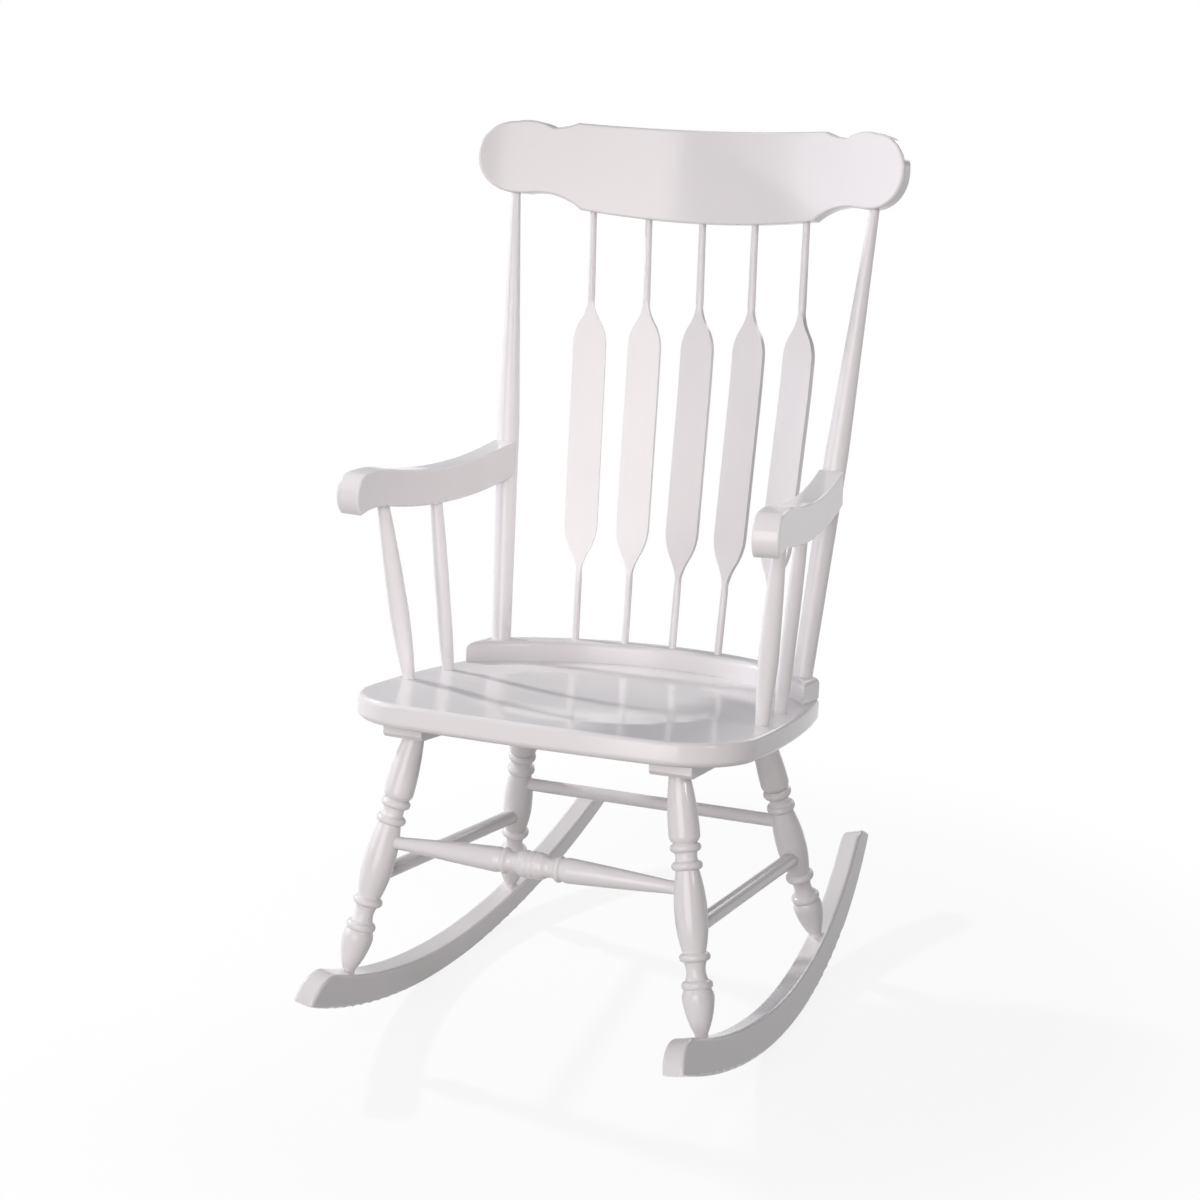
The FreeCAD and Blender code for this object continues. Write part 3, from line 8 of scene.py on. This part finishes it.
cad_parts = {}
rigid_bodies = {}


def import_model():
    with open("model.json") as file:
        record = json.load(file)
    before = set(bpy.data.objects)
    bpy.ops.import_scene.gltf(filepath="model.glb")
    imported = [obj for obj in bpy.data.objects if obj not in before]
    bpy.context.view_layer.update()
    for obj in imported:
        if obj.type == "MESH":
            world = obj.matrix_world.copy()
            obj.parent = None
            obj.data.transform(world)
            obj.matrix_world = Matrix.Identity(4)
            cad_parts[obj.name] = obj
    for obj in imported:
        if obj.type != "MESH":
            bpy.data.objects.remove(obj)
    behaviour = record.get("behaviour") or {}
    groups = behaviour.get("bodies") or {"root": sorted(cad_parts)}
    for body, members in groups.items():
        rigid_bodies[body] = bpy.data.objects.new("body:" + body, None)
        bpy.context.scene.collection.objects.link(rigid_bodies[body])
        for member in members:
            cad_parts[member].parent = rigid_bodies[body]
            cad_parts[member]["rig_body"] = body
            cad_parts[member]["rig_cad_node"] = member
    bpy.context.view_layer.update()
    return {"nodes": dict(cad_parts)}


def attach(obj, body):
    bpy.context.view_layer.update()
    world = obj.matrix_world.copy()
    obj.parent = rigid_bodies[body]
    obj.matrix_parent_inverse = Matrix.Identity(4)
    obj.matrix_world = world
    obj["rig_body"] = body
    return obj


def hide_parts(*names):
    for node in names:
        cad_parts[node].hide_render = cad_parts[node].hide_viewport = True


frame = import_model()

bl_info = {
    "name": "Painted rocking chair",
    "version": (1, 0, 0),
    "blender": (4, 5, 0),
    "location": "View3D > Sidebar > Chair",
    "description": "White enamel, steel screws and studio stage for a slat back rocking chair",
    "category": "Object",
}

MM = 0.001
BODY = "root"
STEEL_NODES = ("arm_screws", "cleat_screws", "crest_pins", "riser_screws", "rocker_screws")
WOOD_NODES = tuple(sorted(set(frame["nodes"]) - set(STEEL_NODES)))


def linear(code):
    """Linear colour of an sRGB hex value."""
    def channel(text):
        value = int(text, 16) / 255
        return value / 12.92 if value <= 0.04045 else ((value + 0.055) / 1.055) ** 2.4
    return tuple(channel(code[i:i + 2]) for i in (0, 2, 4))


# Settings

class ChairFinish(bpy.types.PropertyGroup):
    enamel_colour: bpy.props.FloatVectorProperty(
        name="Enamel", description="Colour of the white paint", subtype="COLOR",
        default=linear("EBE8E9"), min=0, max=1)
    enamel_roughness: bpy.props.FloatProperty(
        name="Enamel roughness", description="Blur of the paint's reflections",
        default=0.13, min=0, max=1)
    brush_mark: bpy.props.FloatProperty(
        name="Brush mark",
        description="Width of the faint waves that levelling leaves in the paint",
        default=9 * MM, min=1 * MM, unit="LENGTH")
    steel_colour: bpy.props.FloatVectorProperty(
        name="Steel", description="Colour of the zinc plated screws", subtype="COLOR",
        default=linear("B9BABD"), min=0, max=1)


class ChairStage(bpy.types.PropertyGroup):
    floor_size: bpy.props.FloatProperty(
        name="Floor", description="Side of the pale floor, which runs to the top of the picture",
        default=200.0, min=2, unit="LENGTH")
    floor_colour: bpy.props.FloatVectorProperty(
        name="Floor bounce", description="Colour of the light that the floor sends back up",
        subtype="COLOR", default=linear("868280"), min=0, max=1)
    shadow_reach: bpy.props.FloatProperty(
        name="Shadow reach",
        description="Distance from the chair at which the floor turns plain white",
        default=1.1, min=0.2, unit="LENGTH")
    key_power: bpy.props.FloatProperty(
        name="Key light",
        description="Small lamp on the sitter's right, which throws the spindles' shadows",
        default=38, min=0, unit="POWER")
    cool_power: bpy.props.FloatProperty(
        name="Cool light", description="Cool soft box on the sitter's right",
        default=15, min=0, unit="POWER")
    front_power: bpy.props.FloatProperty(
        name="Front light", description="Warm soft box ahead of the chair",
        default=82, min=0, unit="POWER")
    side_power: bpy.props.FloatProperty(
        name="Side light",
        description="Gridded soft box on the sitter's left, which lights the arms",
        default=0.7, min=0, unit="POWER")
    back_power: bpy.props.FloatProperty(
        name="Back light", description="Soft box behind the chair",
        default=30, min=0, unit="POWER")
    ceiling_light: bpy.props.FloatProperty(
        name="Ceiling", description="Light of the room from above", default=0.27, min=0)
    wall_light: bpy.props.FloatProperty(
        name="Bright wall", description="Light of the room from the sitter's right",
        default=0.45, min=0)
    far_wall_light: bpy.props.FloatProperty(
        name="Dim wall", description="Light of the room from the sitter's left",
        default=0.25, min=0)
    lens: bpy.props.FloatProperty(
        name="Lens", description="Focal length in millimetres on a 36 mm frame",
        default=73.5, min=10)


# Materials

ENAMEL_IOR = 1.5
WAVE_STRENGTH = 0.03
WAVE_HEIGHT = 0.2 * MM
WAVE_DETAIL = 1.0
ZINC_ROUGHNESS = 0.35
PAPER_COLOUR = "F6F6F6"
NEAR_WHITE = 0.86  # share of plain white in the floor by the chair, where the rest shows its shadow


def add_node(tree, kind, settings=None, links=None):
    """Add a node, set its own values and sockets, and link its inputs."""
    node = tree.nodes.new(kind)
    for name, value in (settings or {}).items():
        if name in node.inputs.keys():
            node.inputs[name].default_value = value
        else:
            setattr(node, name, value)
    for name, source in (links or {}).items():
        tree.links.new(source, node.inputs[name])
    return node


def new_material(name):
    material = bpy.data.materials.get(name) or bpy.data.materials.new(name)
    material.use_nodes = True
    material.node_tree.nodes.clear()
    return material


def white_enamel(finish):
    """Gloss enamel sprayed on sanded hardwood: clear reflections, faintly waved by levelling."""
    material = new_material("white_gloss_enamel")
    tree = material.node_tree
    place = add_node(tree, "ShaderNodeTexCoord")
    wave = add_node(tree, "ShaderNodeTexNoise",
                    {"Scale": 1 / finish.brush_mark, "Detail": WAVE_DETAIL},
                    {"Vector": place.outputs["Object"]})
    relief = add_node(tree, "ShaderNodeBump",
                      {"Strength": WAVE_STRENGTH, "Distance": WAVE_HEIGHT},
                      {"Height": wave.outputs["Fac"]})
    shader = add_node(tree, "ShaderNodeBsdfPrincipled", {
        "Base Color": (*finish.enamel_colour, 1),
        "Roughness": finish.enamel_roughness,
        "IOR": ENAMEL_IOR,
    }, {"Normal": relief.outputs["Normal"]})
    add_node(tree, "ShaderNodeOutputMaterial", None, {"Surface": shader.outputs["BSDF"]})
    return material


def zinc_steel(finish):
    """Zinc plated steel of wood screws: pale, satin metal."""
    material = new_material("zinc_plated_steel")
    tree = material.node_tree
    shader = add_node(tree, "ShaderNodeBsdfPrincipled", {
        "Base Color": (*finish.steel_colour, 1),
        "Metallic": 1.0,
        "Roughness": ZINC_ROUGHNESS,
    })
    add_node(tree, "ShaderNodeOutputMaterial", None, {"Surface": shader.outputs["BSDF"]})
    return material


def seen_share(tree):
    """One for the rays that show the background: straight, mirrored or through something clear."""
    path = add_node(tree, "ShaderNodeLightPath")
    straight = add_node(tree, "ShaderNodeMath", {"operation": "MAXIMUM"},
                        {0: path.outputs["Is Camera Ray"], 1: path.outputs["Is Glossy Ray"]})
    seen = add_node(tree, "ShaderNodeMath", {"operation": "MAXIMUM"},
                    {0: straight.outputs[0], 1: path.outputs["Is Transmission Ray"]})
    return seen.outputs[0]


def pale_floor(stage):
    """Matt paper, seen as the background's white, with a faint shadow close to the chair."""
    material = new_material("white_paper_floor")
    tree = material.node_tree
    place = add_node(tree, "ShaderNodeTexCoord")
    distance = add_node(tree, "ShaderNodeVectorMath", {"operation": "LENGTH"},
                        {0: place.outputs["Object"]})
    whiteness = add_node(tree, "ShaderNodeMapRange", {
        "interpolation_type": "SMOOTHSTEP",
        "From Min": stage.shadow_reach / 2,
        "From Max": stage.shadow_reach,
        "To Min": NEAR_WHITE,
        "To Max": 1.0,
    }, {"Value": distance.outputs["Value"]})
    paper = add_node(tree, "ShaderNodeBsdfDiffuse", {"Color": (*linear(PAPER_COLOUR), 1)})
    glow = add_node(tree, "ShaderNodeEmission", {"Color": (1, 1, 1, 1), "Strength": 1.0})
    sheet = add_node(tree, "ShaderNodeMixShader", None, {
        0: whiteness.outputs["Result"], 1: paper.outputs["BSDF"], 2: glow.outputs["Emission"]})
    bounce = add_node(tree, "ShaderNodeBsdfDiffuse", {"Color": (*stage.floor_colour, 1)})
    both = add_node(tree, "ShaderNodeMixShader", None, {
        0: seen_share(tree), 1: bounce.outputs["BSDF"], 2: sheet.outputs["Shader"]})
    add_node(tree, "ShaderNodeOutputMaterial", None, {"Surface": both.outputs["Shader"]})
    return material


# Modelling helpers

SAME_POINT = 1e-6  # points of the loose triangles that lie closer than this are one
CREASE = math.radians(30)  # faces that turn by more than this meet in a sharp edge
CREST_FOOT = Vector((0, 294 * MM, 1010.1 * MM))  # middle of the crest rail's lower edge
CREST_LEAN = math.radians(9.6)
CREST_BEND = 650 * MM  # radius of the rail's middle surface
CREST_HALF = 13.5 * MM  # half of the rail's thickness
CREST_SLACK = 0.05 * MM
CREST_EDGE = math.radians(25)  # a normal that leans more than this belongs to the rail's edges


def only(obj):
    """Select one object and make it active."""
    bpy.ops.object.select_all(action="DESELECT")
    obj.select_set(True)
    bpy.context.view_layer.objects.active = obj


def give(obj, material):
    obj.data.materials.clear()
    obj.data.materials.append(material)


def corner_weights(mesh, face):
    """Area of a face times its angle at each of its corners."""
    points = [mesh.vertices[index].co for index in face.vertices]
    ahead = points[1:] + points[:1]
    behind = points[-1:] + points[:-1]
    return [face.area * (after - point).angle(before - point, 0)
            for point, after, before in zip(points, ahead, behind)]


def smooth(obj):
    """Merge the loose triangles and shade each corner with the faces round it, up to a crease."""
    only(obj)
    bpy.ops.object.mode_set(mode="EDIT")
    bpy.ops.mesh.select_all(action="SELECT")
    bpy.ops.mesh.remove_doubles(threshold=SAME_POINT)
    bpy.ops.object.mode_set(mode="OBJECT")
    bpy.ops.object.shade_smooth()
    mesh = obj.data
    around = [[] for _ in mesh.vertices]
    for face in mesh.polygons:
        for index, weight in zip(face.vertices, corner_weights(mesh, face)):
            around[index].append((face.normal.copy(), weight))
    limit = math.cos(CREASE)
    normals = []
    for face in mesh.polygons:
        for index in face.vertices:
            near = (normal * weight for normal, weight in around[index]
                    if normal.dot(face.normal) > limit)
            normals.append(sum(near, Vector()).normalized())
    mesh.normals_split_custom_set(normals)


def painted_copy(node):
    """Copy of a wooden piece for its coat of paint."""
    source = frame["nodes"][node]
    only(source)
    bpy.ops.object.duplicate(linked=False)
    coat = bpy.context.active_object
    coat.name = f"{node}_painted"
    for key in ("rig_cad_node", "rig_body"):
        del coat[key]
    coat.parent = None
    return coat


def even_crest(coat):
    """Turn the normals on the crest rail's hollow front and its back to the axis of the bend."""
    lean = Matrix.Rotation(-CREST_LEAN, 3, "X")
    upright = lean.inverted()
    mesh = coat.data
    normals = [corner.vector.copy() for corner in mesh.corner_normals]
    for corner in mesh.loops:
        place = upright @ (mesh.vertices[corner.vertex_index].co - CREST_FOOT)
        arm = Vector((place.x, place.y + CREST_BEND, 0))
        outward = lean @ arm.normalized()
        facing = normals[corner.index].dot(outward)
        on_face = abs(abs(arm.length - CREST_BEND) - CREST_HALF) < CREST_SLACK
        if on_face and abs(facing) > math.cos(CREST_EDGE):
            normals[corner.index] = outward if facing > 0 else -outward
    mesh.normals_split_custom_set(normals)


# Pieces

class CHAIR_OT_paint_wood(bpy.types.Operator):
    """Give every wooden piece its coat of white enamel"""
    bl_idname = "chair.paint_wood"
    bl_label = "Paint the wood"

    def execute(self, context):
        enamel = white_enamel(context.scene.chair_finish)
        for node in WOOD_NODES:
            coat = painted_copy(node)
            smooth(coat)
            if node == "crest_rail":
                even_crest(coat)
            give(coat, enamel)
            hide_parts(node)
            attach(coat, BODY)
        return {"FINISHED"}


class CHAIR_OT_plate_screws(bpy.types.Operator):
    """Give the screws and pins their zinc plating"""
    bl_idname = "chair.plate_screws"
    bl_label = "Plate the screws"

    def execute(self, context):
        steel = zinc_steel(context.scene.chair_finish)
        for node in STEEL_NODES:
            give(frame["nodes"][node], steel)
        return {"FINISHED"}


# Stage

class SoftBox(NamedTuple):
    """Square lamp: its place and target, its side, its colour, its power setting and its spread."""
    name: str
    place: Vector
    target: Vector
    side: float
    colour: str
    power: str
    spread: float = math.pi


CHAIR_MIDDLE = Vector((0, 0, 0.55))
ARM_MIDDLE = Vector((-0.1, 0, 0.74))
GRID_SPREAD = math.radians(26)
NEUTRAL, COOL, WARM = "FFFFFF", "F2F5FF", "FFFAF8"
LAMPS = (
    SoftBox("key_lamp", Vector((-2.15, 0.42, 1.77)), CHAIR_MIDDLE, 0.16, NEUTRAL, "key_power"),
    SoftBox("cool_box", Vector((-2.5, -1.2, 1.5)), CHAIR_MIDDLE, 1.8, COOL, "cool_power"),
    SoftBox("front_box", Vector((0.25, -3.8, 1.45)), CHAIR_MIDDLE, 2.8, WARM, "front_power"),
    SoftBox("side_box", Vector((2.2, -0.9, 1.9)), ARM_MIDDLE, 0.8, WARM, "side_power",
            GRID_SPREAD),
    SoftBox("back_box", Vector((0.6, 3.6, 2.2)), CHAIR_MIDDLE, 2.0, NEUTRAL, "back_power"),
)
FLOOR_DROP = 0.5 * MM  # gap under the rockers, so that the floor and they don't share a plane
ROOM_COLOUR = "FAFAFF"
CEILING_RISE = 0.8  # upward part of a direction, from which on the room shows its ceiling alone
FRAME_WIDTH = 36  # of the camera's picture, in millimetres
CAMERA_PLACE = Vector((1.2078, -2.86971, 1.41518))
CAMERA_RIGHT = Vector((0.918541, 0.395326, 0.0))
CAMERA_UP = Vector((-0.105941, 0.246154, 0.963423))


def add_floor(stage):
    bpy.ops.object.select_all(action="DESELECT")
    bpy.ops.mesh.primitive_plane_add(size=stage.floor_size, location=(0, 0, -FLOOR_DROP))
    floor = bpy.context.active_object
    floor.name = "floor"
    give(floor, pale_floor(stage))


def add_lamp(box, stage):
    """Hang a soft box at its place, turned to its target."""
    bpy.ops.object.light_add(type="AREA", location=box.place)
    lamp = bpy.context.active_object
    lamp.name = box.name
    lamp.rotation_euler = (box.target - box.place).to_track_quat("-Z", "Y").to_euler()
    lamp.data.size = box.side
    lamp.data.energy = getattr(stage, box.power)
    lamp.data.color = linear(box.colour)
    lamp.data.spread = box.spread


def add_room(stage):
    """Plain room all round, which lights the chair softly and shows in the gloss of the seat."""
    world = bpy.data.worlds.new("room")
    bpy.context.scene.world = world
    world.use_nodes = True
    tree = world.node_tree
    tree.nodes.clear()
    place = add_node(tree, "ShaderNodeTexCoord")
    side = add_node(tree, "ShaderNodeSeparateXYZ", None, {"Vector": place.outputs["Generated"]})
    walls = add_node(tree, "ShaderNodeMapRange", {
        "From Min": -1.0,
        "From Max": 1.0,
        "To Min": stage.wall_light,
        "To Max": stage.far_wall_light,
    }, {"Value": side.outputs["X"]})
    light = add_node(tree, "ShaderNodeMapRange", {
        "interpolation_type": "SMOOTHSTEP",
        "From Min": 0.0,
        "From Max": CEILING_RISE,
        "To Max": stage.ceiling_light,
    }, {"Value": side.outputs["Z"], "To Min": walls.outputs["Result"]})
    room = add_node(tree, "ShaderNodeBackground", {"Color": (*linear(ROOM_COLOUR), 1)},
                    {"Strength": light.outputs["Result"]})
    add_node(tree, "ShaderNodeOutputWorld", None, {"Surface": room.outputs["Background"]})


def add_camera(stage):
    camera = bpy.data.cameras.new("camera")
    camera.sensor_width = FRAME_WIDTH
    camera.lens = stage.lens
    holder = bpy.data.objects.new("camera", camera)
    bpy.context.scene.collection.objects.link(holder)
    turn = Matrix((CAMERA_RIGHT, CAMERA_UP, CAMERA_RIGHT.cross(CAMERA_UP))).transposed()
    holder.matrix_world = Matrix.Translation(CAMERA_PLACE) @ turn.to_4x4()
    bpy.context.scene.camera = holder


class CHAIR_OT_set_stage(bpy.types.Operator):
    """Lay the floor, hang the soft boxes, light the room and place the camera"""
    bl_idname = "chair.set_stage"
    bl_label = "Set the stage"

    def execute(self, context):
        stage = context.scene.chair_stage
        add_floor(stage)
        for box in LAMPS:
            add_lamp(box, stage)
        add_room(stage)
        add_camera(stage)
        context.scene.view_settings.view_transform = "Standard"
        return {"FINISHED"}


# Panel and registration

class CHAIR_PT_build(bpy.types.Panel):
    bl_label = "Rocking chair"
    bl_idname = "CHAIR_PT_build"
    bl_space_type = "VIEW_3D"
    bl_region_type = "UI"
    bl_category = "Chair"

    def draw(self, context):
        for group in (context.scene.chair_finish, context.scene.chair_stage):
            for name in group.bl_rna.properties.keys():
                if name not in ("rna_type", "name"):
                    self.layout.prop(group, name)
        for operator in OPERATORS:
            self.layout.operator(operator.bl_idname)


SETTINGS = (ChairFinish, ChairStage)
OPERATORS = (CHAIR_OT_paint_wood, CHAIR_OT_plate_screws, CHAIR_OT_set_stage)
CLASSES = (*SETTINGS, *OPERATORS, CHAIR_PT_build)


def register():
    for cls in CLASSES:
        bpy.utils.register_class(cls)
    bpy.types.Scene.chair_finish = bpy.props.PointerProperty(type=ChairFinish)
    bpy.types.Scene.chair_stage = bpy.props.PointerProperty(type=ChairStage)


def unregister():
    del bpy.types.Scene.chair_stage
    del bpy.types.Scene.chair_finish
    for cls in reversed(CLASSES):
        bpy.utils.unregister_class(cls)


def main():
    register()
    bpy.ops.chair.paint_wood()
    bpy.ops.chair.plate_screws()
    bpy.ops.chair.set_stage()


if __name__ == "__main__":
    main()
